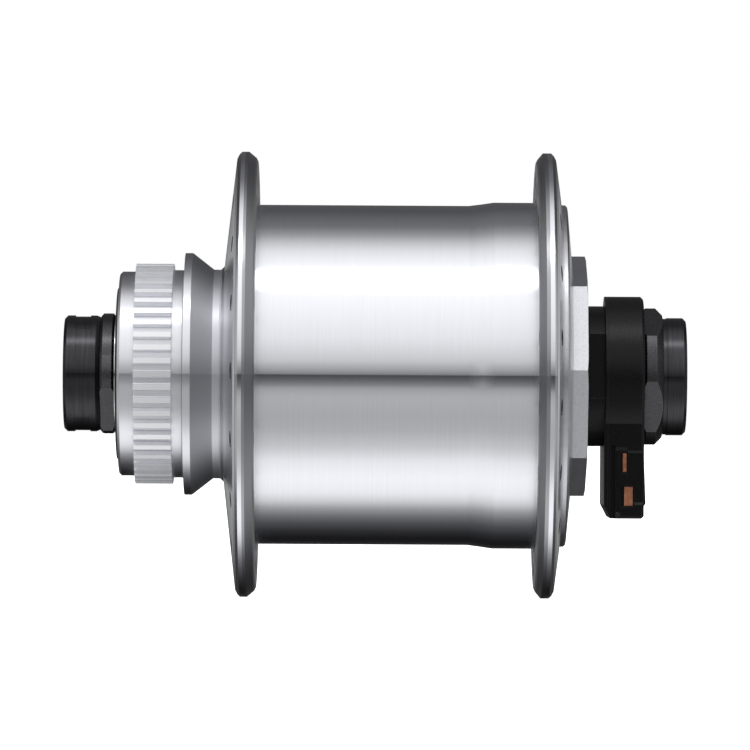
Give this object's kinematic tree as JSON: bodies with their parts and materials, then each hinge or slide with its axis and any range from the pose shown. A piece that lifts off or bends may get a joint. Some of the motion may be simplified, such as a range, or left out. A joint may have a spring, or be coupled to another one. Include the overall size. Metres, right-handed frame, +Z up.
{
  "type": "hub dynamo",
  "caption": "Front wheel generator hub for a thru-axle fork, with drilled spoke flanges, a splined disc mount and a two-contact lamp connector.",
  "frame": {"origin": "on the wheel's axis, midway between the two faces that the fork clamps", "axes": "+Y along the axle towards the disc side, +Z up with the lamp connector hanging towards -Z, +X to the side away from the connector's contacts"},
  "size_m": [0.0718, 0.1, 0.0718],
  "materials": {
    "silver_anodised": "clear anodised, with fine turning round the axis",
    "black_anodised": "black anodised, satin, turned",
    "black_steel": "blackened, satin",
    "axle_steel": "turned",
    "bearing_steel": "ground and polished",
    "soft_iron": "plated sheet",
    "ferrite": "sintered, matte",
    "copper": "bare copper",
    "bobbin_plastic": "moulded",
    "connector_plastic": "moulded, fine grain",
    "wire_sleeve": "insulated wire",
    "black_rubber": "smooth"
  },
  "bodies": {
    "axle_assembly": {"axle_tube": "axle_steel", "left_end_cap": "black_anodised", "left_lock_nut": "black_steel", "left_bearing_cone": "bearing_steel", "left_claw_yoke": "soft_iron", "right_claw_yoke": "soft_iron", "stator_core": "soft_iron", "coil_bobbin": "bobbin_plastic", "coil_winding": "copper", "tab_washer": "axle_steel", "stator_nut": "axle_steel", "lead_wires": "wire_sleeve", "right_bearing_cone": "bearing_steel", "right_inner_nut": "black_steel", "connector_plate": "connector_plastic", "connector_housing": "connector_plastic", "upper_terminal": "copper", "lower_terminal": "copper", "right_lock_nut": "black_steel", "right_end_cap": "black_anodised"},
    "rotor": {"hub_shell": "silver_anodised", "left_bearing_cup": "bearing_steel", "left_dust_cap": "black_rubber", "magnet_back_iron": "soft_iron", "rotor_magnets": "ferrite", "shell_cover": "silver_anodised", "cover_gasket": "black_rubber", "right_bearing_cup": "bearing_steel", "right_dust_seal": "black_rubber"},
    "left_retainer": {"left_ball_cage": "axle_steel", "left_balls": "bearing_steel"},
    "right_retainer": {"right_ball_cage": "axle_steel", "right_balls": "bearing_steel"}
  },
  "joints": [
    {"name": "hub_spin", "type": "hinge", "parent": "axle_assembly", "child": "rotor", "pos_m": [0, 0, 0], "axis": [0, 1, 0], "continuous": true},
    {"name": "left_retainer_spin", "type": "hinge", "parent": "axle_assembly", "child": "left_retainer", "pos_m": [0, 0.0331, 0], "axis": [0, 1, 0], "continuous": true},
    {"name": "right_retainer_spin", "type": "hinge", "parent": "axle_assembly", "child": "right_retainer", "pos_m": [0, -0.0283, 0], "axis": [0, 1, 0], "continuous": true}
  ],
  "couplings": [
    {"joint": "left_retainer_spin", "follows": "hub_spin", "ratio": 0.57},
    {"joint": "right_retainer_spin", "follows": "hub_spin", "ratio": 0.57}
  ]
}
